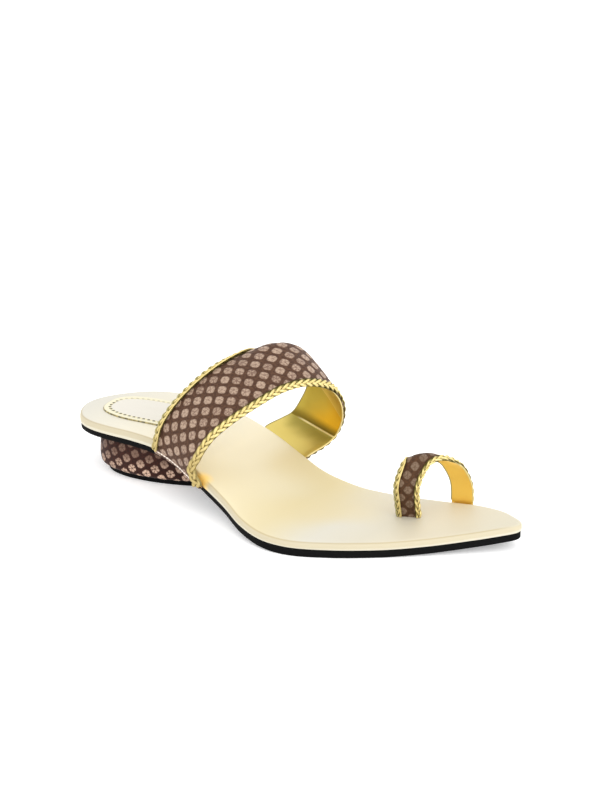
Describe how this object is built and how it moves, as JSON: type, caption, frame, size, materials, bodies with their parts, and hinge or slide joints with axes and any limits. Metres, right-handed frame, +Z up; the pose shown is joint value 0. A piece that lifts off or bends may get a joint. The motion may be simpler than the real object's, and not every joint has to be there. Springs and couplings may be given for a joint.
{
  "type": "toe ring sandal",
  "caption": "Right-foot slip-on sandal with a pointed flat sole, a low covered heel, a wide patterned instep strap edged with braid, and a braided toe ring.",
  "frame": {"origin": "on the floor, under the middle of the heel lift, at the mount heel_rest", "axes": "+X from the heel to the toes along the shoe, +Y to the inner (medial) side of the foot, +Z up"},
  "size_m": [0.256, 0.1104, 0.0757],
  "materials": {
    "black_rubber": "satin black outsole and heel lift",
    "cream_leather": "pale gold synthetic leather with a soft sheen",
    "brocade": "dark brown woven fabric with raised taupe dots, gold lining",
    "gold_braid": "plaited metallic gold thread"
  },
  "bodies": {
    "root": {"outsole": "black_rubber", "footbed": "cream_leather", "heel_block": "brocade", "heel_lift": "black_rubber", "heel_sock": "cream_leather", "instep_strap": "brocade", "instep_braid_back": "gold_braid", "instep_braid_front": "gold_braid", "toe_ring": "brocade", "ring_braid_back": "gold_braid", "ring_braid_front": "gold_braid"}
  },
  "joints": []
}
